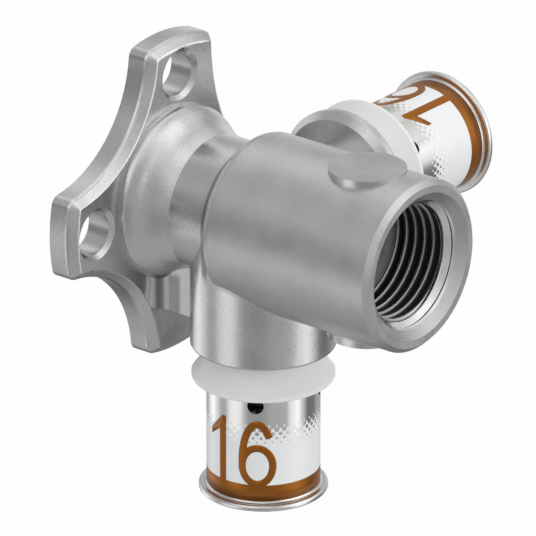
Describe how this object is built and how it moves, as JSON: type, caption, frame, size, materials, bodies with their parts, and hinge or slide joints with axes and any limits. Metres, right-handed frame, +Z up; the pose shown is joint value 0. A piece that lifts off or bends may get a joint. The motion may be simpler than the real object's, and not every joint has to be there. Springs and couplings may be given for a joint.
{
  "type": "wall plate elbow",
  "caption": "Wall plate pipe fitting: a threaded outlet on a lobed screw plate, with one press connection down and one to the side.",
  "frame": {"origin": "middle of the wall plate's flat back face, on the axis of the threaded outlet", "axes": "+Z up, +Y into the wall, so the outlet opens towards -Y; one press connection points towards -Z and the other towards +X"},
  "size_m": [0.0744, 0.0542, 0.0739],
  "materials": {
    "body_metal": "satin tin plating on a brass casting",
    "ring_plastic": "satin, slightly translucent white",
    "sleeve_steel": "polished stainless steel with a white and brown print",
    "seal_rubber": "smooth black"
  },
  "bodies": {
    "root": {"body": "body_metal", "stop_ring_lower": "ring_plastic", "stop_ring_side": "ring_plastic", "press_sleeve_lower": "sleeve_steel", "press_sleeve_side": "sleeve_steel", "seal_inner_lower": "seal_rubber", "seal_outer_lower": "seal_rubber", "seal_inner_side": "seal_rubber", "seal_outer_side": "seal_rubber"}
  },
  "joints": []
}
